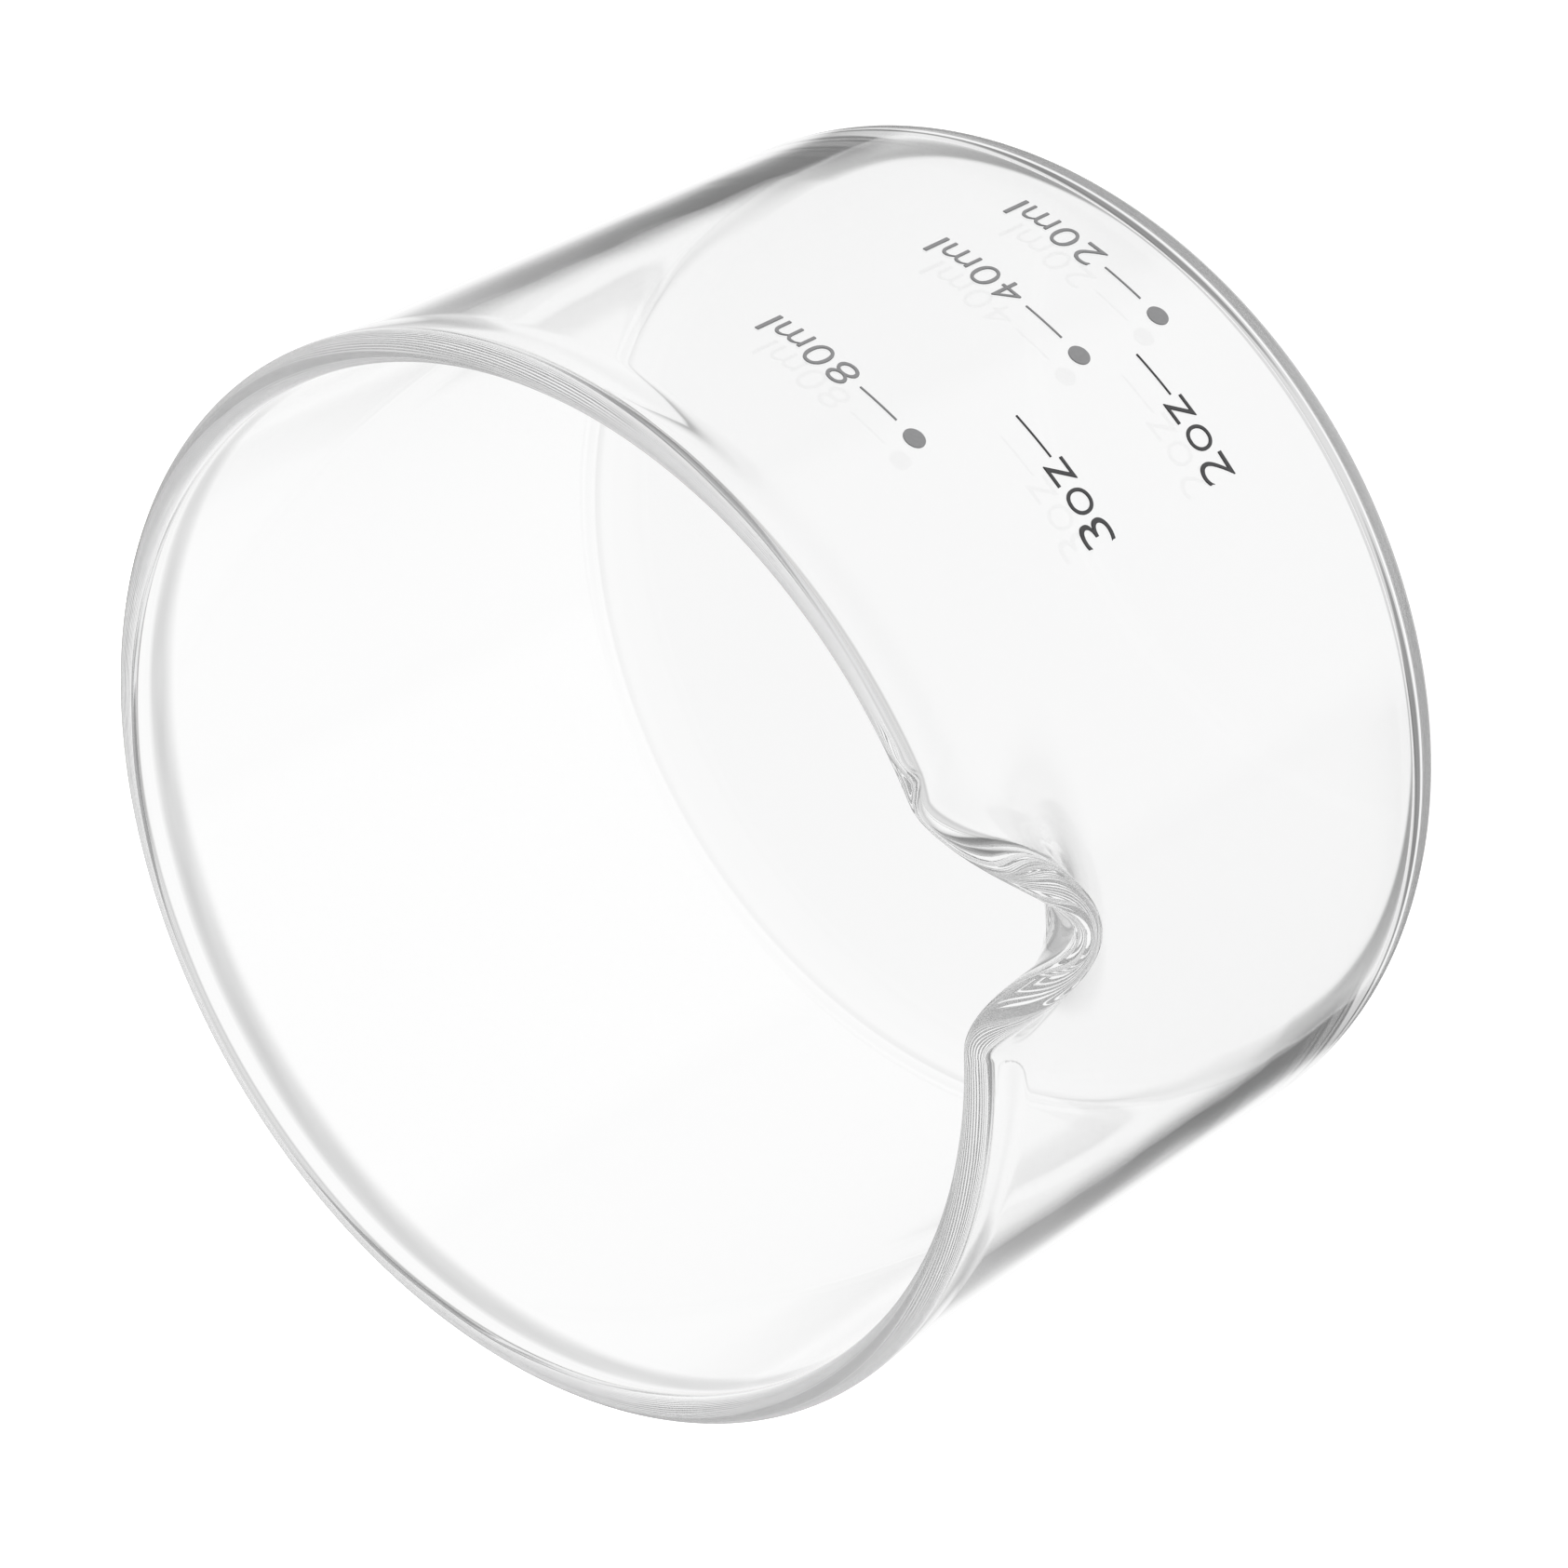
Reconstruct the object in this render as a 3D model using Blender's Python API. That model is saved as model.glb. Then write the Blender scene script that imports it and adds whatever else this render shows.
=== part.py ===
"""A low, flat-based measuring dish of clear borosilicate glass, with one pouring spout.

A millilitre scale and an ounce scale are fired onto the outside of the wall.  Metres, +Z up.
The origin is the centre of the base, the axis of the wall is Z and the spout points along +X.
Angles round the wall are counted from the spout, anticlockwise seen from above.
"""

import math

import bmesh
import bpy
from mathutils import Matrix, Vector

# The glass
WALL_RADIUS = 0.03175
WALL_THICKNESS = 0.0016
FLOOR_THICKNESS = 0.0010
HEIGHT = 0.04235
HEEL_RADIUS = 0.0029
INNER_HEEL_RADIUS = 0.0020

# The fire-polished rim: a full round bead, a little thicker than the wall below it
BEAD_RADIUS = 0.00095
BEAD_STANDOUT = 0.00025
BEAD_RUN = 0.0030

# The spout, drawn out of the rim
SPOUT_REACH = 0.0068
SPOUT_DEPTH = 0.0102
SPOUT_DROP = 0.0014
SPOUT_HALF_WIDTH = 0.0070
SPOUT_ROOT_HALF_WIDTH = 0.0133
SPOUT_FULLNESS = 0.93
# Drawing it out thins the glass at its tip and gathers it in the flanks, as shares of the wall
SPOUT_TIP_THINNING = 0.20
SPOUT_FLANK_GATHER = 0.25

# How finely the glass is divided
SPOUT_SECTOR = math.radians(70)
SPOUT_STEPS = 42
ROUND_STEPS = 58
HEEL_STEPS = 4
WALL_STEPS = 7
BEAD_STEPS = 6

# The fired-on scale
PRINT_THICKNESS = 0.00008
PRINT_GAP = 0.00003
LINE_WIDTH = 0.00017
DOT_DIAMETER = 0.0013
CUBIC_METRES_PER_ML = 1e-6
# The ounce figures stand one ounce above the level that the bowl really holds, in 30 ml ounces.
OUNCE_ROWS = (("2oz", 30), ("3oz", 60))
ML_ROWS = (("20ml", 20), ("40ml", 40), ("80ml", 80))
OUNCE_LINE = (math.radians(35.45), math.radians(40.7))
ML_LINE = (math.radians(45.8), math.radians(50.7))
DOT_ANGLE = math.radians(43.3)
OUNCE_TEXT_ANGLE = math.radians(25.6)
ML_TEXT_ANGLE = math.radians(51.8)
OUNCE_NUMERAL = 0.00234
ML_NUMERAL = 0.00204
# Width and height of a character, as shares of the height of a numeral
NUMERAL_SIZE = (0.64, 1.0)
LETTER_SIZES = {"m": (0.945, 0.71), "l": (0.12, 1.0), "o": (0.67, 0.74), "z": (0.62, 0.70)}
# Room between two characters, and how far the line is above the foot of the text
OUNCE_SPACING, OUNCE_LINE_RISE = 0.155, 0.29
ML_SPACING, ML_LINE_RISE = 0.20, 0.48

# What follows from them
MID_RADIUS = WALL_RADIUS - WALL_THICKNESS / 2
INNER_RADIUS = WALL_RADIUS - WALL_THICKNESS
BEAD_CENTRE_RADIUS = WALL_RADIUS + BEAD_STANDOUT - BEAD_RADIUS
BEAD_CENTRE_HEIGHT = HEIGHT - BEAD_RADIUS
SPOUT_ROOT_HEIGHT = BEAD_CENTRE_HEIGHT - SPOUT_DEPTH


def clear_scene():
    for obj in list(bpy.data.objects):
        bpy.data.objects.remove(obj, do_unlink=True)


def make_material(name, colour, roughness, transmission=0.0, ior=1.5):
    material = bpy.data.materials.new(name)
    material.use_nodes = True
    shader = material.node_tree.nodes["Principled BSDF"]
    shader.inputs["Base Color"].default_value = (*colour, 1.0)
    shader.inputs["Roughness"].default_value = roughness
    shader.inputs["Metallic"].default_value = 0.0
    shader.inputs["Transmission Weight"].default_value = transmission
    shader.inputs["IOR"].default_value = ior
    return material


def share(value, start, end):
    """How far value has gone from start to end, held between 0 and 1."""
    return min(max((value - start) / (end - start), 0.0), 1.0)


def smooth(t):
    return t * t * (3 - 2 * t)


def wall_middle(height):
    """Radius of the middle of the wall, which moves out a little into the bead."""
    swell = smooth(share(height, BEAD_CENTRE_HEIGHT - BEAD_RUN, BEAD_CENTRE_HEIGHT))
    return MID_RADIUS + (BEAD_CENTRE_RADIUS - MID_RADIUS) * swell


def half_thickness(height):
    swell = smooth(share(height, BEAD_CENTRE_HEIGHT - BEAD_RUN, BEAD_CENTRE_HEIGHT))
    return WALL_THICKNESS / 2 + (BEAD_RADIUS - WALL_THICKNESS / 2) * swell


def arc(centre, radius, start, end, steps):
    """Points on an arc in the (radius, height) plane, angles in degrees."""
    points = []
    for step in range(steps + 1):
        angle = math.radians(start + (end - start) * step / steps)
        points.append((centre[0] + radius * math.cos(angle), centre[1] + radius * math.sin(angle)))
    return points


def glass_profile():
    """The half section, from the centre of the base up the outside, over the rim and down the inside."""
    rises = [SPOUT_ROOT_HEIGHT + SPOUT_DEPTH * step / WALL_STEPS for step in range(WALL_STEPS)]
    outside = [(wall_middle(height) + half_thickness(height), height) for height in rises]
    inside = [(wall_middle(height) - half_thickness(height), height) for height in reversed(rises)]
    heel_centre = (WALL_RADIUS - HEEL_RADIUS, HEEL_RADIUS)
    inner_centre = (INNER_RADIUS - INNER_HEEL_RADIUS, FLOOR_THICKNESS + INNER_HEEL_RADIUS)
    bead_centre = (BEAD_CENTRE_RADIUS, BEAD_CENTRE_HEIGHT)
    return [
        (0.0, 0.0),
        *arc(heel_centre, HEEL_RADIUS, -90, 0, HEEL_STEPS),
        *outside,
        *arc(bead_centre, BEAD_RADIUS, 0, 180, BEAD_STEPS),
        *inside,
        *arc(inner_centre, INNER_HEEL_RADIUS, 0, -90, HEEL_STEPS),
        (0.0, FLOOR_THICKNESS),
    ]


def spout_bell(across, rise):
    """How strongly the spout is drawn at a distance across it: 1 in the middle, 0 beside it."""
    half_width = SPOUT_ROOT_HALF_WIDTH + (SPOUT_HALF_WIDTH - SPOUT_ROOT_HALF_WIDTH) * rise
    return (0.5 + 0.5 * math.cos(math.pi * min(abs(across) / half_width, 1.0))) ** SPOUT_FULLNESS


def drawn_wall(angle, height):
    """A point on the middle of the wall once the spout is drawn out of it."""
    radius = wall_middle(height)
    along, across = radius * math.cos(angle), radius * math.sin(angle)
    rise = share(height, SPOUT_ROOT_HEIGHT, BEAD_CENTRE_HEIGHT)
    if rise <= 0 or along < 0:
        return Vector((along, across, height))
    pull = spout_bell(across, rise) * rise**2
    return Vector((along + SPOUT_REACH * pull, across, height - SPOUT_DROP * pull))


def drawn_thickness(angle, height):
    """The thickness left in the drawn glass, as a share of what was there."""
    rise = share(height, SPOUT_ROOT_HEIGHT, BEAD_CENTRE_HEIGHT)
    if math.cos(angle) < 0:
        return 1.0
    bell = spout_bell(wall_middle(height) * math.sin(angle), rise)
    return 1 - rise**2 * (SPOUT_TIP_THINNING * bell**2 - SPOUT_FLANK_GATHER * 4 * bell * (1 - bell))


def draw_spout(point):
    """Moves a point of the turned vessel to its place beside the drawn wall, square to it."""
    radius, angle = math.hypot(point.x, point.y), math.atan2(point.y, point.x)
    height = min(point.z, BEAD_CENTRE_HEIGHT)
    if height <= SPOUT_ROOT_HEIGHT:
        return point
    step = 1e-5
    turn = step / MID_RADIUS
    foot = drawn_wall(angle, height)
    round_wall = drawn_wall(angle + turn, height) - drawn_wall(angle - turn, height)
    up_wall = (foot - drawn_wall(angle, height - step)).normalized()
    outward = round_wall.cross(up_wall).normalized()
    offset = outward * (radius - wall_middle(height)) + up_wall * (point.z - height)
    return foot + offset * drawn_thickness(angle, height)


def add_object(name, mesh, material, parent):
    mesh.materials.clear()
    mesh.materials.append(material)
    obj = bpy.data.objects.new(name, mesh)
    bpy.context.scene.collection.objects.link(obj)
    obj.parent = parent
    return obj


def make_vessel(material, parent):
    """The glass: its half section spun round in two sectors, the finer one where the spout is."""
    bm = bmesh.new()
    ring = [bm.verts.new((radius, 0.0, height)) for radius, height in glass_profile()]
    edges = [bm.edges.new(pair) for pair in zip(ring, ring[1:])]
    axis = {"cent": (0, 0, 0), "axis": (0, 0, 1), "use_merge": False, "use_duplicate": False}
    half_turn = Matrix.Rotation(-SPOUT_SECTOR / 2, 3, "Z")
    bmesh.ops.rotate(bm, verts=ring, cent=(0, 0, 0), matrix=half_turn)
    last = bmesh.ops.spin(bm, geom=ring + edges, angle=SPOUT_SECTOR, steps=SPOUT_STEPS, **axis)["geom_last"]
    bmesh.ops.spin(bm, geom=last, angle=math.tau - SPOUT_SECTOR, steps=ROUND_STEPS, **axis)
    bmesh.ops.remove_doubles(bm, verts=bm.verts, dist=1e-6)
    bmesh.ops.recalc_face_normals(bm, faces=bm.faces)
    for vert in bm.verts:
        vert.co = draw_spout(vert.co.copy())
    mesh = bpy.data.meshes.new("glass_vessel")
    bm.to_mesh(mesh)
    bm.free()
    mesh.shade_smooth()
    return add_object("glass_vessel", mesh, material, parent)


def level_of(millilitres):
    """Height of the liquid in the dish, allowing for the rounded corner of the floor."""
    corner = (1 - math.pi / 4) * INNER_HEEL_RADIUS**2 * math.tau * (INNER_RADIUS - 0.22 * INNER_HEEL_RADIUS)
    area = math.pi * INNER_RADIUS**2
    return FLOOR_THICKNESS + (millilitres * CUBIC_METRES_PER_ML + corner) / area


def bend_round_wall(mesh, angle, height):
    """Lays a flat mesh on the wall: x goes round it, y up and z outwards, from the given angle and height."""
    for vert in mesh.vertices:
        radius = WALL_RADIUS + PRINT_GAP + vert.co.z
        turn = angle + vert.co.x / WALL_RADIUS
        vert.co = (radius * math.cos(turn), radius * math.sin(turn), height + vert.co.y)


def thicken(bm):
    """Raises a flat face, or a row of them, into a solid as thick as the print."""
    raised = bmesh.ops.extrude_face_region(bm, geom=bm.faces[:])["geom"]
    moved = [item for item in raised if isinstance(item, bmesh.types.BMVert)]
    bmesh.ops.translate(bm, verts=moved, vec=(0, 0, PRINT_THICKNESS))
    bmesh.ops.recalc_face_normals(bm, faces=bm.faces)


def print_line(name, angles, height, material, parent):
    length = (angles[1] - angles[0]) * WALL_RADIUS
    pieces = 6
    bm = bmesh.new()
    low = [bm.verts.new((length * i / pieces, -LINE_WIDTH / 2, 0)) for i in range(pieces + 1)]
    high = [bm.verts.new((length * i / pieces, LINE_WIDTH / 2, 0)) for i in range(pieces + 1)]
    for i in range(pieces):
        bm.faces.new((low[i], low[i + 1], high[i + 1], high[i]))
    thicken(bm)
    mesh = bpy.data.meshes.new(name)
    bm.to_mesh(mesh)
    bm.free()
    bend_round_wall(mesh, angles[0], height)
    return add_object(name, mesh, material, parent)


def print_dot(name, height, material, parent):
    bm = bmesh.new()
    bmesh.ops.create_circle(bm, cap_ends=True, segments=28, radius=DOT_DIAMETER / 2)
    thicken(bm)
    mesh = bpy.data.meshes.new(name)
    bm.to_mesh(mesh)
    bm.free()
    bend_round_wall(mesh, DOT_ANGLE, height)
    return add_object(name, mesh, material, parent)


def flat_character(character):
    """A character's filled outline, one unit of font size, made thin and light."""
    text = bpy.data.curves.new("character", "FONT")
    text.body = character
    text.resolution_u = 3
    text.offset = -0.008
    obj = bpy.data.objects.new("character", text)
    bpy.context.scene.collection.objects.link(obj)
    bpy.context.view_layer.update()
    mesh = bpy.data.meshes.new_from_object(obj.evaluated_get(bpy.context.evaluated_depsgraph_get()))
    bpy.data.objects.remove(obj, do_unlink=True)
    bpy.data.curves.remove(text)
    return mesh


def print_character(name, character, start, foot, size, material, parent):
    """A character fitted to its width and height, its lower left corner at an angle and a height."""
    mesh = flat_character(character)
    bm = bmesh.new()
    bm.from_mesh(mesh)
    bmesh.ops.remove_doubles(bm, verts=bm.verts, dist=1e-5)
    xs, ys = [v.co.x for v in bm.verts], [v.co.y for v in bm.verts]
    scale = Vector((size[0] / (max(xs) - min(xs)), size[1] / (max(ys) - min(ys)), 1.0))
    bmesh.ops.translate(bm, verts=bm.verts, vec=(-min(xs), -min(ys), 0))
    bmesh.ops.scale(bm, verts=bm.verts, vec=scale)
    thicken(bm)
    bm.to_mesh(mesh)
    bm.free()
    mesh.name = name
    bend_round_wall(mesh, start, foot)
    return add_object(name, mesh, material, parent)


def print_text(label, start, foot, numeral, spacing, material, parent):
    angle = start
    for character in label:
        width, height = LETTER_SIZES.get(character, NUMERAL_SIZE)
        size = (width * numeral, height * numeral)
        print_character(f"print_{label}_{character}", character, angle, foot, size, material, parent)
        angle += (width + spacing) * numeral / WALL_RADIUS


def print_scales(material, parent):
    for label, millilitres in ML_ROWS:
        level = level_of(millilitres)
        foot = level - ML_LINE_RISE * ML_NUMERAL
        print_dot(f"print_{label}_dot", level, material, parent)
        print_line(f"print_{label}_line", ML_LINE, level, material, parent)
        print_text(label, ML_TEXT_ANGLE, foot, ML_NUMERAL, ML_SPACING, material, parent)
    for label, millilitres in OUNCE_ROWS:
        level = level_of(millilitres)
        foot = level - OUNCE_LINE_RISE * OUNCE_NUMERAL
        print_line(f"print_{label}_line", OUNCE_LINE, level, material, parent)
        print_text(label, OUNCE_TEXT_ANGLE, foot, OUNCE_NUMERAL, OUNCE_SPACING, material, parent)


def main():
    clear_scene()
    glass = make_material("clear_glass", (0.93, 0.95, 0.95), 0.02, transmission=1.0, ior=1.47)
    enamel = make_material("grey_enamel", (0.05, 0.05, 0.05), 0.35)
    dish = bpy.data.objects.new("measuring_dish", None)
    bpy.context.scene.collection.objects.link(dish)
    make_vessel(glass, dish)
    print_scales(enamel, dish)


main()
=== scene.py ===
"""Looks of the spouted measuring dish: fine clear glass, fired grey scale, studio and camera.

Metres, +Z up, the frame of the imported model: base on z = 0, axis of the wall on Z, spout along +X.
"""

import math

import bmesh
import bpy
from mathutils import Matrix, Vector, noise


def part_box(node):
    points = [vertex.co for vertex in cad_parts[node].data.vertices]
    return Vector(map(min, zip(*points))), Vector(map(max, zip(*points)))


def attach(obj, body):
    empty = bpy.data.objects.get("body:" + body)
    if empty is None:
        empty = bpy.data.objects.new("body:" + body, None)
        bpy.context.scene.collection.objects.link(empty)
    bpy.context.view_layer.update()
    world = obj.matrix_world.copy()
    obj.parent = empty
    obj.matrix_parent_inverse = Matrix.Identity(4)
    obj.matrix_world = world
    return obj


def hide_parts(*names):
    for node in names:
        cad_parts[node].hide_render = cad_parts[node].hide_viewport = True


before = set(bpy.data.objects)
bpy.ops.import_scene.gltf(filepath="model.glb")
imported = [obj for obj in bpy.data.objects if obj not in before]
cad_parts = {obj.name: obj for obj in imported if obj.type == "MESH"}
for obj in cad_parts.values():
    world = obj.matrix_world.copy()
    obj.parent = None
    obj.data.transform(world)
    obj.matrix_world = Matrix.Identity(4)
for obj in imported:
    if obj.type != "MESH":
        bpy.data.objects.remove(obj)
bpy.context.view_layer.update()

VESSEL_LOW, VESSEL_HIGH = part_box("glass_vessel")

# The glass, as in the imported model
BEAD_RADIUS = 0.00095
BEAD_STANDOUT = 0.00025
BEAD_RUN = 0.0030
HEIGHT = VESSEL_HIGH.z
WALL_RADIUS = VESSEL_HIGH.y - BEAD_STANDOUT
WALL_THICKNESS = 0.0016
FLOOR_THICKNESS = 0.0010
HEEL_RADIUS = 0.0029
INNER_HEEL_RADIUS = 0.0020
SPOUT_REACH = 0.0068
SPOUT_DEPTH = 0.0102
SPOUT_DROP = 0.0014
SPOUT_HALF_WIDTH = 0.0070
SPOUT_ROOT_HALF_WIDTH = 0.0133
SPOUT_FULLNESS = 0.93
SPOUT_TIP_THINNING = 0.20
SPOUT_FLANK_GATHER = 0.25
MID_RADIUS = WALL_RADIUS - WALL_THICKNESS / 2
INNER_RADIUS = WALL_RADIUS - WALL_THICKNESS
BEAD_CENTRE_RADIUS = WALL_RADIUS + BEAD_STANDOUT - BEAD_RADIUS
BEAD_CENTRE_HEIGHT = HEIGHT - BEAD_RADIUS
SPOUT_ROOT_HEIGHT = BEAD_CENTRE_HEIGHT - SPOUT_DEPTH

# How finely the glass is divided
SECTOR_COLUMNS = 90
SECTOR_DOUBLINGS = 3
HEEL_STEPS = 12
BEAD_STEPS = 22
WALL_STEPS = 34
PLAIN_WALL_STEPS = 3
BASE_STEPS = 3
# Waves that the flame left round the rim
RIPPLE_DEPTH = 0.000012
RIPPLE_WIDTH = 0.0006
RIPPLE_TURNS = 6.0

# The fired-on scale
PRINT_THICKNESS = 0.00008
PRINT_GAP = 0.00003
PRINT_RADIUS = WALL_RADIUS + PRINT_GAP
SHOULDER_WIDTH = 0.000012
SHOULDER_HEIGHT = 0.00002
STROKE_THINNING = -0.014
LINE_FINENESS = 0.6
CURVE_STEPS = 12
DOT_SIDES = 64
LINE_CUTS = 11
SMOOTH_ANGLE = math.radians(40)


# ---------------------------------------------------------------- modelling by hand, in code

def clear_selection():
    bpy.ops.object.select_all(action="DESELECT")


def enter_edit(mode="VERT"):
    bpy.ops.object.mode_set(mode="EDIT")
    bpy.ops.mesh.select_mode(type=mode)


def leave_edit():
    bpy.ops.object.mode_set(mode="OBJECT")


def select_edges(piece, wanted):
    """In edit mode, selects the edges whose middle point is wanted."""
    mesh = bmesh.from_edit_mesh(piece.data)
    for edge in mesh.edges:
        edge.select_set(wanted((edge.verts[0].co + edge.verts[1].co) / 2))
    mesh.select_flush_mode()
    bmesh.update_edit_mesh(piece.data)


def share(value, start, end):
    """How far value has gone from start to end, held between 0 and 1."""
    return min(max((value - start) / (end - start), 0.0), 1.0)


def smooth(t):
    return t * t * (3 - 2 * t)


def bead_swell(height):
    return smooth(share(height, BEAD_CENTRE_HEIGHT - BEAD_RUN, BEAD_CENTRE_HEIGHT))


def wall_middle(height):
    """Radius of the middle of the wall, which moves out a little into the bead."""
    return MID_RADIUS + (BEAD_CENTRE_RADIUS - MID_RADIUS) * bead_swell(height)


def half_thickness(height):
    return WALL_THICKNESS / 2 + (BEAD_RADIUS - WALL_THICKNESS / 2) * bead_swell(height)


def arc(centre, radius, start, end, steps):
    """Points on an arc in the (radius, height) plane, angles in degrees."""
    angles = [math.radians(start + (end - start) * step / steps) for step in range(steps + 1)]
    return [(centre[0] + radius * math.cos(a), centre[1] + radius * math.sin(a)) for a in angles]


def glass_outline():
    """The half section, from the centre of the base up the outside, over the rim and down the inside."""
    plain = [HEEL_RADIUS + (SPOUT_ROOT_HEIGHT - HEEL_RADIUS) * step / PLAIN_WALL_STEPS
             for step in range(1, PLAIN_WALL_STEPS)]
    drawn = [SPOUT_ROOT_HEIGHT + SPOUT_DEPTH * step / WALL_STEPS for step in range(WALL_STEPS)]
    rises = plain + drawn
    base_radius = WALL_RADIUS - HEEL_RADIUS
    floor_radius = INNER_RADIUS - INNER_HEEL_RADIUS
    return [
        *[(base_radius * step / BASE_STEPS, 0.0) for step in range(BASE_STEPS)],
        *arc((base_radius, HEEL_RADIUS), HEEL_RADIUS, -90, 0, HEEL_STEPS),
        *[(wall_middle(height) + half_thickness(height), height) for height in rises],
        *arc((BEAD_CENTRE_RADIUS, BEAD_CENTRE_HEIGHT), BEAD_RADIUS, 0, 180, BEAD_STEPS),
        *[(wall_middle(height) - half_thickness(height), height) for height in reversed(rises)],
        *arc((floor_radius, FLOOR_THICKNESS + INNER_HEEL_RADIUS), INNER_HEEL_RADIUS, 0, -90, HEEL_STEPS),
        *[(floor_radius * step / BASE_STEPS, FLOOR_THICKNESS) for step in range(BASE_STEPS - 1, -1, -1)],
    ]


def spout_bell(across, rise):
    """How strongly the spout is drawn at a distance across it: 1 in the middle, 0 beside it."""
    half_width = SPOUT_ROOT_HALF_WIDTH + (SPOUT_HALF_WIDTH - SPOUT_ROOT_HALF_WIDTH) * rise
    return (0.5 + 0.5 * math.cos(math.pi * min(abs(across) / half_width, 1.0))) ** SPOUT_FULLNESS


def drawn_wall(angle, height):
    """A point on the middle of the wall once the spout is drawn out of it."""
    radius = wall_middle(height)
    along, across = radius * math.cos(angle), radius * math.sin(angle)
    rise = share(height, SPOUT_ROOT_HEIGHT, BEAD_CENTRE_HEIGHT)
    if rise <= 0 or along < 0:
        return Vector((along, across, height))
    pull = spout_bell(across, rise) * rise**2
    return Vector((along + SPOUT_REACH * pull, across, height - SPOUT_DROP * pull))


def drawn_thickness(angle, height):
    """The thickness left in the drawn glass, as a share of what was there."""
    rise = share(height, SPOUT_ROOT_HEIGHT, BEAD_CENTRE_HEIGHT)
    if math.cos(angle) < 0:
        return 1.0
    bell = spout_bell(wall_middle(height) * math.sin(angle), rise)
    return 1 - rise**2 * (SPOUT_TIP_THINNING * bell**2 - SPOUT_FLANK_GATHER * 4 * bell * (1 - bell))


def draw_spout(point):
    """Moves a point of the turned vessel to its place beside the drawn wall, square to it."""
    radius, angle = math.hypot(point.x, point.y), math.atan2(point.y, point.x)
    height = min(point.z, BEAD_CENTRE_HEIGHT)
    if height <= SPOUT_ROOT_HEIGHT or point.x < 0 or abs(point.y) > SPOUT_ROOT_HALF_WIDTH:
        return point
    step = 1e-5
    turn = step / MID_RADIUS
    foot = drawn_wall(angle, height)
    round_wall = drawn_wall(angle + turn, height) - drawn_wall(angle - turn, height)
    up_wall = (foot - drawn_wall(angle, height - step)).normalized()
    outward = round_wall.cross(up_wall).normalized()
    offset = outward * (radius - wall_middle(height)) + up_wall * (point.z - height)
    return foot + offset * drawn_thickness(angle, height)


def fire_polish(point):
    """Moves a point of the turned bead in by some thousandths of a millimetre, in long waves."""
    swell = bead_swell(point.z)
    if swell == 0:
        return point
    radius, angle = math.hypot(point.x, point.y), math.atan2(point.y, point.x)
    height = min(point.z, BEAD_CENTRE_HEIGHT)
    middle = wall_middle(height)
    below = BEAD_CENTRE_HEIGHT - height
    over = BEAD_RADIUS * math.atan2(point.z - height, radius - middle)
    section = over + math.copysign(below, middle - radius)
    around = RIPPLE_TURNS * math.cos(angle), RIPPLE_TURNS * math.sin(angle)
    spot = Vector((*around, section / RIPPLE_WIDTH))
    kept = 1 - swell * RIPPLE_DEPTH * (0.5 + 0.5 * noise.noise(spot)) / BEAD_RADIUS
    radius = middle + (radius - middle) * kept
    return Vector((radius * math.cos(angle), radius * math.sin(angle), height + (point.z - height) * kept))


def turn_vessel():
    """The section is drawn point by point, spun round the axis, welded and pulled into a spout."""
    clear_selection()
    bpy.ops.mesh.primitive_plane_add(size=HEEL_RADIUS, location=(0, 0, 0))
    vessel = bpy.context.object
    vessel.name = "vessel_clear_glass"
    vessel.data.name = vessel.name
    enter_edit()
    bpy.ops.mesh.select_all(action="SELECT")
    bpy.ops.mesh.merge(type="CENTER")
    outline = glass_outline()
    for last, point in zip(outline, outline[1:]):
        step = (point[0] - last[0], 0, point[1] - last[1])
        bpy.ops.mesh.extrude_vertices_move(TRANSFORM_OT_translate={"value": step})
    bpy.ops.mesh.select_all(action="SELECT")
    sector = math.tau / 2**SECTOR_DOUBLINGS
    bpy.ops.mesh.spin(steps=SECTOR_COLUMNS, angle=sector, center=(0, 0, 0), axis=(0, 0, 1))
    for doubling in range(SECTOR_DOUBLINGS):
        bpy.ops.mesh.select_all(action="SELECT")
        bpy.ops.mesh.duplicate()
        bpy.ops.transform.rotate(value=sector * 2**doubling, orient_axis="Z", center_override=(0, 0, 0))
    bpy.ops.mesh.select_all(action="SELECT")
    bpy.ops.mesh.remove_doubles(threshold=1e-6)
    bpy.ops.mesh.normals_make_consistent(inside=False)
    leave_edit()
    for vertex in vessel.data.vertices:
        vertex.co = draw_spout(fire_polish(vertex.co.copy()))
    bpy.ops.object.shade_smooth()
    return vessel


def flat_character(character):
    """A character of the scale, filled and flat, with thin, light strokes."""
    bpy.ops.object.text_add(location=(0, 0, 0))
    text = bpy.context.object
    text.data.body = character
    text.data.resolution_u = CURVE_STEPS
    text.data.offset = STROKE_THINNING
    bpy.ops.object.convert(target="MESH")
    return bpy.context.object


def flat_dot():
    bpy.ops.mesh.primitive_circle_add(vertices=DOT_SIDES, radius=1, fill_type="NGON", location=(0, 0, 0))
    return bpy.context.object


def flat_line():
    """One stroke, divided along its length so that it can bend round the wall."""
    bpy.ops.mesh.primitive_plane_add(size=1, location=(0, 0, 0))
    enter_edit("EDGE")
    line = bpy.context.object
    select_edges(line, lambda edge_middle: abs(edge_middle.y) > 0.4)
    bpy.ops.mesh.subdivide(number_cuts=LINE_CUTS)
    leave_edit()
    return line


def print_extent(node):
    """The angles and heights between which a mark lies on the wall."""
    low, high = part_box(node)
    angles = math.asin(low.y / PRINT_RADIUS), math.asin(high.y / (PRINT_RADIUS + PRINT_THICKNESS))
    return angles, (low.z, high.z)


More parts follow.
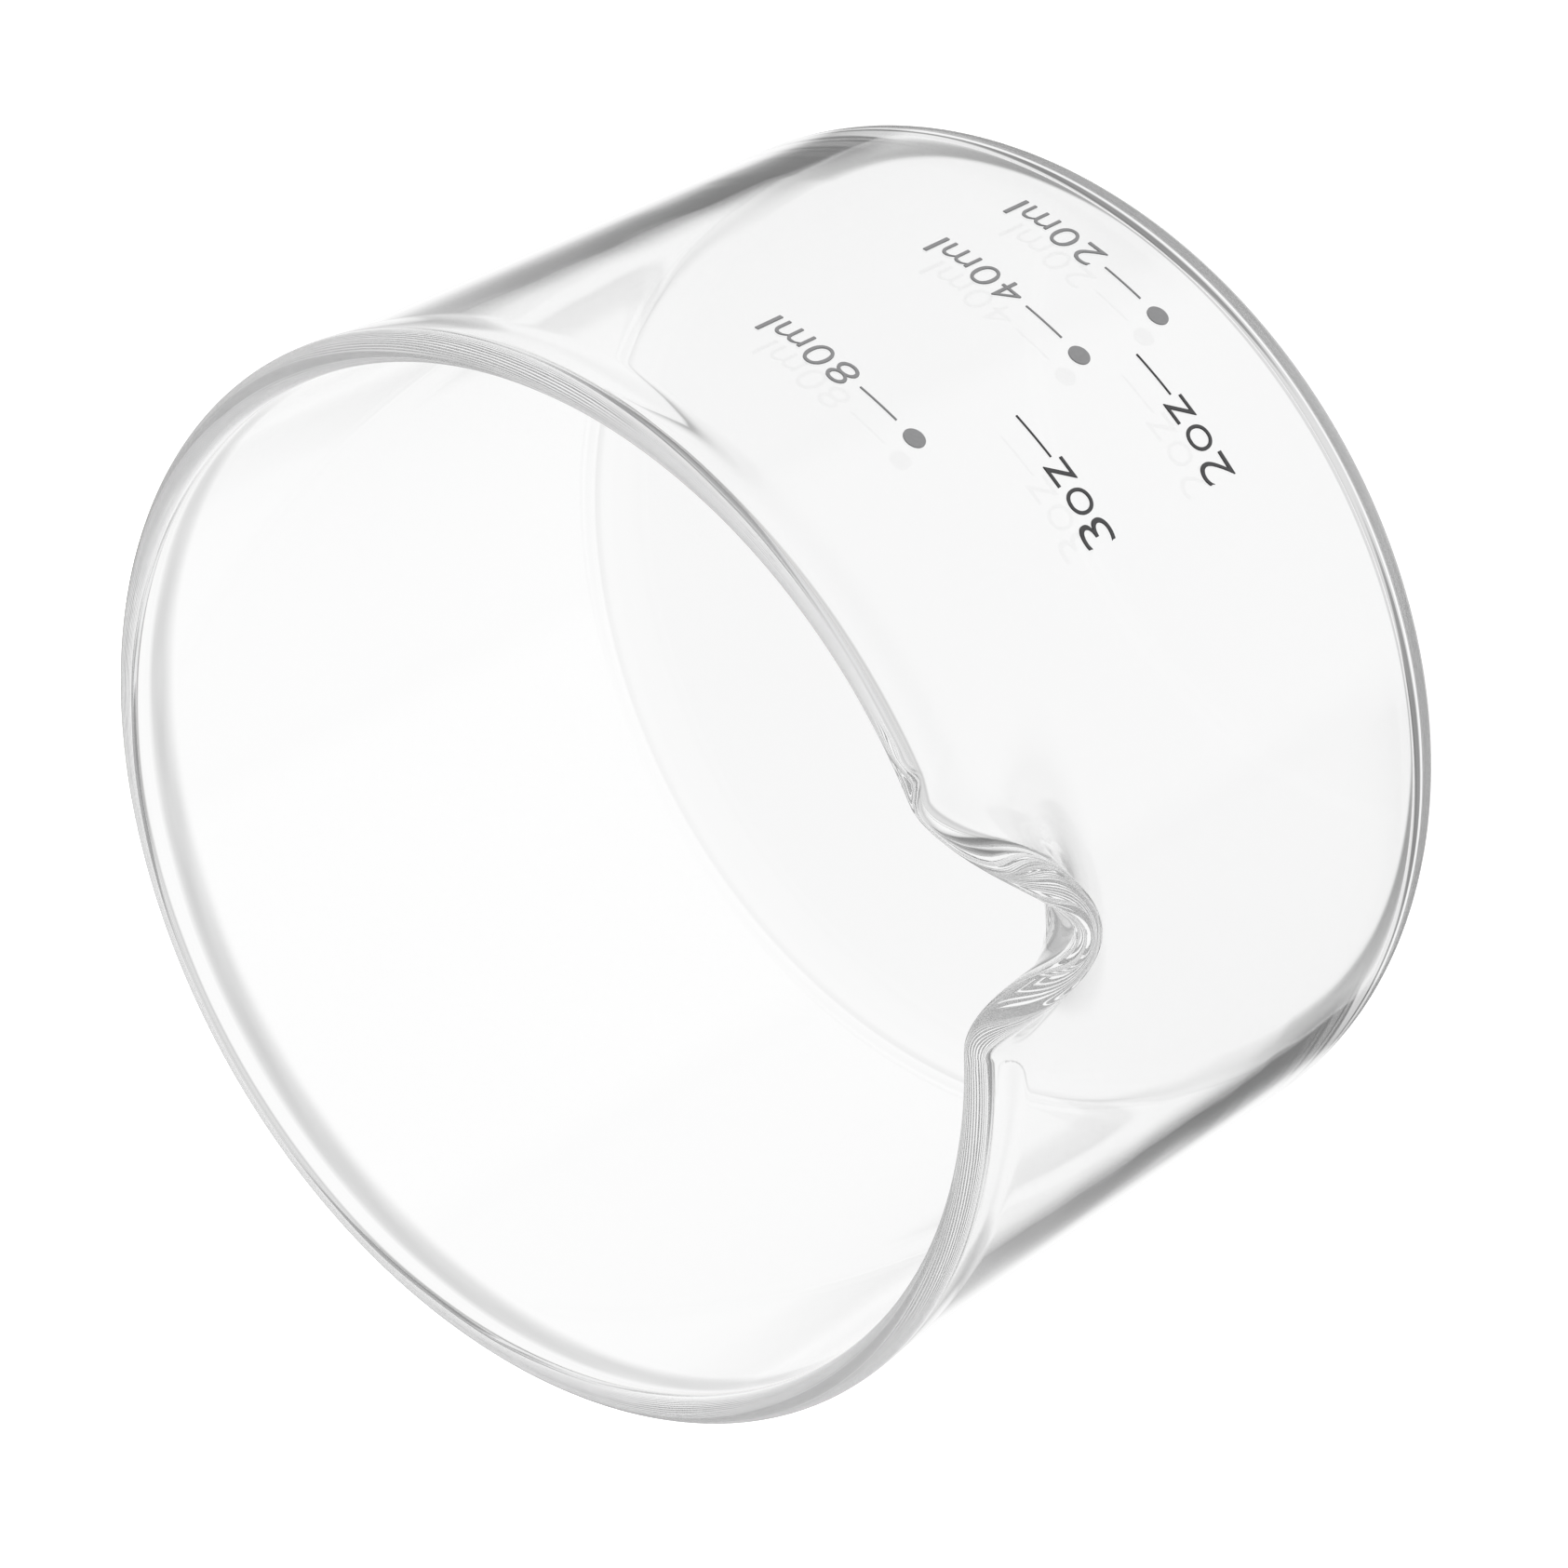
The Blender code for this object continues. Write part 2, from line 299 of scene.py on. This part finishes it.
def raise_enamel(mark):
    """Gives a flat mark the thickness of the print, with a small shoulder round its upper face."""
    enter_edit("FACE")
    bpy.ops.mesh.select_all(action="SELECT")
    bpy.ops.mesh.remove_doubles(threshold=1e-7)
    bpy.ops.mesh.extrude_region_move(
        TRANSFORM_OT_translate={"value": (0, 0, PRINT_THICKNESS - SHOULDER_HEIGHT)})
    bpy.ops.mesh.inset(thickness=SHOULDER_WIDTH, depth=SHOULDER_HEIGHT, use_even_offset=True)
    bpy.ops.mesh.select_all(action="SELECT")
    bpy.ops.mesh.normals_make_consistent(inside=False)
    leave_edit()


def lay_on_wall(mark, angles, heights):
    """Bends a raised mark round the wall, its x along the arc, its y up the wall."""
    for vertex in mark.data.vertices:
        radius = PRINT_RADIUS + vertex.co.z
        turn = angles[0] + vertex.co.x / WALL_RADIUS
        vertex.co = (radius * math.cos(turn), radius * math.sin(turn), heights[0] + vertex.co.y)


def print_mark(node):
    """A finer enamel mark in the place of one of the scale's plain solids."""
    kind = node.split("_")[-1]
    clear_selection()
    makers = {"dot": flat_dot, "line": flat_line}
    mark = makers[kind]() if kind in makers else flat_character(kind)
    mark.name = mark.data.name = "enamel_" + node.removeprefix("print_")
    angles, heights = print_extent(node)
    length = (angles[1] - angles[0]) * WALL_RADIUS
    rise = heights[1] - heights[0]
    xs = [vertex.co.x for vertex in mark.data.vertices]
    ys = [vertex.co.y for vertex in mark.data.vertices]
    if kind == "line":
        heights = heights[0] + rise * (1 - LINE_FINENESS) / 2, heights[1]
        rise = rise * LINE_FINENESS
    stretch = length / (max(xs) - min(xs)), rise / (max(ys) - min(ys))
    for vertex in mark.data.vertices:
        vertex.co.x = (vertex.co.x - min(xs)) * stretch[0]
        vertex.co.y = (vertex.co.y - min(ys)) * stretch[1]
    raise_enamel(mark)
    lay_on_wall(mark, angles, heights)
    bpy.ops.object.shade_smooth_by_angle(angle=SMOOTH_ANGLE)
    return mark


# ---------------------------------------------------------------- materials

GLASS_TINTS = (0.994, 0.995, 0.995), (1.0, 1.0, 1.0)
GLASS_IOR = 1.47
GLASS_WAVE_SCALE = 90.0
GLASS_WAVE_HEIGHT = 0.001
GLASS_HAZE_SCALE = 260.0
MOST_GLASS_ROUGHNESS = 0.003
# The millilitre marks are painted a lighter grey than the ounce marks. This is painted sheen for the white
# reflection they pick up at a grazing angle; the print itself is the dark of the ounce marks.
MILLILITRE_SHEEN_PAINTED_GREYS = (0.24, 0.24, 0.245), (0.31, 0.31, 0.315)
OUNCE_GREYS = (0.035, 0.035, 0.037), (0.065, 0.065, 0.068)
ENAMEL_GRAIN_SCALE = 5000.0
ENAMEL_GRAIN_HEIGHT = 0.00002


class Value:
    """A socket that can be added, multiplied and so on: each expression adds its Math node."""

    def __init__(self, nodes, socket):
        self.nodes, self.socket = nodes, socket

    def maths(self, operation, first, second):
        return self.nodes.node("ShaderNodeMath", {"operation": operation}, {0: first, 1: second})["Value"]

    def __add__(self, other):
        return self.maths("ADD", self, other)

    def __sub__(self, other):
        return self.maths("SUBTRACT", self, other)

    def __rsub__(self, other):
        return self.maths("SUBTRACT", other, self)

    def __mul__(self, other):
        return self.maths("MULTIPLY", self, other)

    __radd__ = __add__
    __rmul__ = __mul__


class Nodes:
    """Adds nodes to a tree, one method for every kind."""

    def __init__(self, tree):
        self.tree = tree

    def node(self, kind, settings=None, sockets=None):
        """Adds a node: its settings first, then the values or links of its inputs. Gives its outputs."""
        made = self.tree.nodes.new(kind)
        for key, value in (settings or {}).items():
            setattr(made, key, value)
        for key, value in (sockets or {}).items():
            self.feed(made.inputs[key], value)
        return {output.name: Value(self, output) for output in made.outputs if output.enabled}

    def feed(self, socket, value):
        if isinstance(value, Value):
            self.tree.links.new(value.socket, socket)
        else:
            socket.default_value = value

    def smooth_step(self, value, start, end):
        return self.node("ShaderNodeMapRange", {"interpolation_type": "SMOOTHSTEP"}, {
            "Value": value, "From Min": start, "From Max": end})["Result"]

    def degrees(self, operation, *values):
        """An inverse trigonometric function of sockets, in degrees."""
        angle = self.node("ShaderNodeMath", {"operation": operation}, dict(enumerate(values)))["Value"]
        return angle * math.degrees(1)

    def absolute(self, value):
        return self.node("ShaderNodeMath", {"operation": "ABSOLUTE"}, {0: value})["Value"]

    def noise(self, place, scale, detail):
        return self.node("ShaderNodeTexNoise", None, {
            "Vector": place, "Scale": scale, "Detail": detail})["Fac"]

    def blend(self, share_of_second, first, second):
        """Mixes two colours."""
        return self.node("ShaderNodeMix", {"data_type": "RGBA"}, {
            "Factor": share_of_second, "A": (*first, 1), "B": (*second, 1)})["Result"]


class Finish(Nodes):
    """A material under construction, with one main shader."""

    def __init__(self, name):
        self.material = bpy.data.materials.new(name)
        self.material.use_nodes = True
        super().__init__(self.material.node_tree)
        self.shader = self.tree.nodes["Principled BSDF"]

    def place(self):
        """A point's place on the piece."""
        return self.node("ShaderNodeTexCoord")["Object"]

    def bump(self, height, strength, distance):
        return self.node("ShaderNodeBump", None, {
            "Height": height, "Strength": strength, "Distance": distance})["Normal"]

    def surface(self, sockets):
        for name, value in sockets.items():
            self.feed(self.shader.inputs[name], value)
        return self.material


def clear_borosilicate():
    """Clear glass: faint waves left by the flame, a breath of tint and the finest haze of handling."""
    glass = Finish("clear_borosilicate")
    place = glass.place()
    waves = glass.noise(place, GLASS_WAVE_SCALE, 1.0)
    haze = glass.noise(place, GLASS_HAZE_SCALE, 3.0)
    return glass.surface({
        "Base Color": glass.blend(waves, *GLASS_TINTS),
        "Roughness": haze * MOST_GLASS_ROUGHNESS,
        "Normal": glass.bump(waves, 0.02, GLASS_WAVE_HEIGHT),
        "Transmission Weight": 1.0,
        "IOR": GLASS_IOR,
    })


def fired_enamel(name, deep, pale):
    """Screen-printed enamel, fired on: its colour varies a little with the grain, half gloss."""
    enamel = Finish(name)
    grain = enamel.noise(enamel.place(), ENAMEL_GRAIN_SCALE, 2.0)
    return enamel.surface({
        "Base Color": enamel.blend(grain, deep, pale),
        "Roughness": 0.28 + 0.2 * grain,
        "Normal": enamel.bump(grain, 0.2, ENAMEL_GRAIN_HEIGHT),
    })


# ---------------------------------------------------------------- studio

CAMERA_PLACE = (0.21283, 0.09052, 0.23186)
CAMERA_TURN = (-28.1474, 40.2880, -16.1733)
CAMERA_LENS = 126.29
SENSOR_WIDTH = 36.0
FLOOR_RADIUS = 3.0
FLOOR_HEIGHT = -0.0005
FLOOR_SIDES = 96
FLOOR_GLOW = 0.9
FLOOR_GREYS = (0.86, 0.86, 0.86), (0.90, 0.90, 0.90)
PANEL_COMPASS = 203.04
BACKDROP = 1.1
# The studio, painted in this order over the room's grey: how far aside of the line of sight,
# how high, how bright, and how soft the edges are
ROOM_GREY = 0.55
STUDIO_PANELS = (
    ((-20, 190), (20, 100), 0.32, 8),
    ((-20, 190), (-100, -68), 0.75, 5),
    ((-20, 30), (-31, -14), 0.35, 5),
    ((125, 190), (-60, -28), 1.0, 12),
    ((24, 125), (-51, -30), 0.85, 4),
    ((38, 122), (-82, -58), 0.28, 6),
    ((40, 122), (-60, -51), 0.20, 3),
    ((27, 48), (-60, -41), 0.20, 4),
    ((-20, 24), (-64, -32), 1.0, 4),
)
# Where the clear room round the flags begins, and where it ends above the horizon
CLEAR_ROOM_SIDES = 38, 50
CLEAR_ROOM_TOP = -5, 10
# From how many bounces light counts as led round inside the glass, and what it sees low down
LED_BOUNCES = 7, 14
LED_TOP = 0, 25
LED_LIGHT = 0.97
LIGHT_BOUNCES = 120


def set_camera():
    camera = bpy.data.objects.new("camera", bpy.data.cameras.new("camera"))
    bpy.context.scene.collection.objects.link(camera)
    camera.location = CAMERA_PLACE
    camera.rotation_euler = [math.radians(angle) for angle in CAMERA_TURN]
    camera.data.lens = CAMERA_LENS
    camera.data.sensor_width = SENSOR_WIDTH
    camera.data.clip_start = 0.01
    camera.data.clip_end = 20.0
    bpy.context.scene.camera = camera


def pale_floor():
    """A white floor under the dish, for the eye only: the glass looks past it into the studio."""
    clear_selection()
    bpy.ops.mesh.primitive_circle_add(
        vertices=FLOOR_SIDES, radius=FLOOR_RADIUS, fill_type="NGON", location=(0, 0, FLOOR_HEIGHT))
    floor = bpy.context.object
    floor.name = "floor"
    finish = Finish("pale_floor")
    cloud = finish.noise(finish.place(), 6.0, 2.0)
    finish.surface({
        "Base Color": finish.blend(cloud, *FLOOR_GREYS),
        "Roughness": 0.7,
        "Emission Color": (1, 1, 1, 1),
        "Emission Strength": FLOOR_GLOW,
    })
    finish.material.cycles.emission_sampling = "NONE"
    floor.data.materials.append(finish.material)
    floor.visible_transmission = False
    floor.visible_glossy = False
    floor.visible_diffuse = False
    floor.visible_shadow = False


def soft_window(studio, value, low, high, softness):
    """1 between two limits, 0 outside them, with soft edges."""
    rise = studio.smooth_step(value, low - softness, low + softness)
    fall = studio.smooth_step(value, high - softness, high + softness)
    return rise * (1 - fall)


def studio_world():
    """The studio as the glass sees it: bright panels and dark flags, laid out by compass and height.

    Angles are in degrees, the compass counted from PANEL_COMPASS, both ways alike. The eye sees
    the backdrop. Light that passes without a reflection sees a clear room beyond the flags.
    """
    world = bpy.data.worlds.new("studio")
    bpy.context.scene.world = world
    world.use_nodes = True
    world.cycles.sampling_method = "NONE"
    studio = Nodes(world.node_tree)
    direction = studio.node("ShaderNodeTexCoord")["Generated"]
    turned = studio.node("ShaderNodeVectorRotate", {"rotation_type": "Z_AXIS"}, {
        "Vector": direction, "Angle": -math.radians(PANEL_COMPASS)})["Vector"]
    along, across, up = studio.node("ShaderNodeSeparateXYZ", None, {"Vector": turned}).values()
    compass = studio.degrees("ARCTAN2", across, along)
    height = studio.degrees("ARCSINE", up)
    aside = studio.absolute(compass)
    path = studio.node("ShaderNodeLightPath")
    straight = 1 - studio.node("ShaderNodeMath", {"operation": "MINIMUM"}, {
        0: path["Glossy Depth"], 1: 1.0})["Value"]

    light = ROOM_GREY
    for sides, heights, brightness, softness in STUDIO_PANELS:
        inside = soft_window(studio, aside, *sides, softness) * soft_window(
            studio, height, *heights, softness)
        light = light + inside * (brightness - light)
    far_around = studio.smooth_step(aside, *CLEAR_ROOM_SIDES) * (
        1 - studio.smooth_step(height, *CLEAR_ROOM_TOP))
    light = light + straight * far_around * (1 - light)
    led = studio.smooth_step(path["Ray Depth"], *LED_BOUNCES) * (
        1 - studio.smooth_step(height, *LED_TOP))
    light = light + led * (LED_LIGHT - light)
    light = light + path["Is Diffuse Ray"] * (LED_LIGHT - light)
    seen = light + path["Is Camera Ray"] * (BACKDROP - light)
    back = world.node_tree.nodes["Background"]
    world.node_tree.links.new(seen.socket, back.inputs["Strength"])
    back.inputs["Color"].default_value = (1, 1, 1, 1)


def main():
    scene = bpy.context.scene
    scene.view_settings.view_transform = "Standard"
    scene.cycles.max_bounces = LIGHT_BOUNCES
    scene.cycles.glossy_bounces = LIGHT_BOUNCES
    scene.cycles.transmission_bounces = LIGHT_BOUNCES
    glass = clear_borosilicate()
    # A lighter copy of the dark print for the millilitre marks, with painted sheen in its colour
    grey_enamel = fired_enamel("grey_enamel", *MILLILITRE_SHEEN_PAINTED_GREYS)
    dark_enamel = fired_enamel("dark_enamel", *OUNCE_GREYS)
    vessel = turn_vessel()
    vessel.data.materials.append(glass)
    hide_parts("glass_vessel")
    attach(vessel, "root")
    for node in sorted(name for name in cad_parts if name.startswith("print_")):
        mark = print_mark(node)
        # The millilitre marks take the copy with painted sheen, and the ounce marks take the dark print
        mark.data.materials.append(dark_enamel if "oz" in node else grey_enamel)
        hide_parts(node)
        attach(mark, "root")
    pale_floor()
    studio_world()
    set_camera()


main()
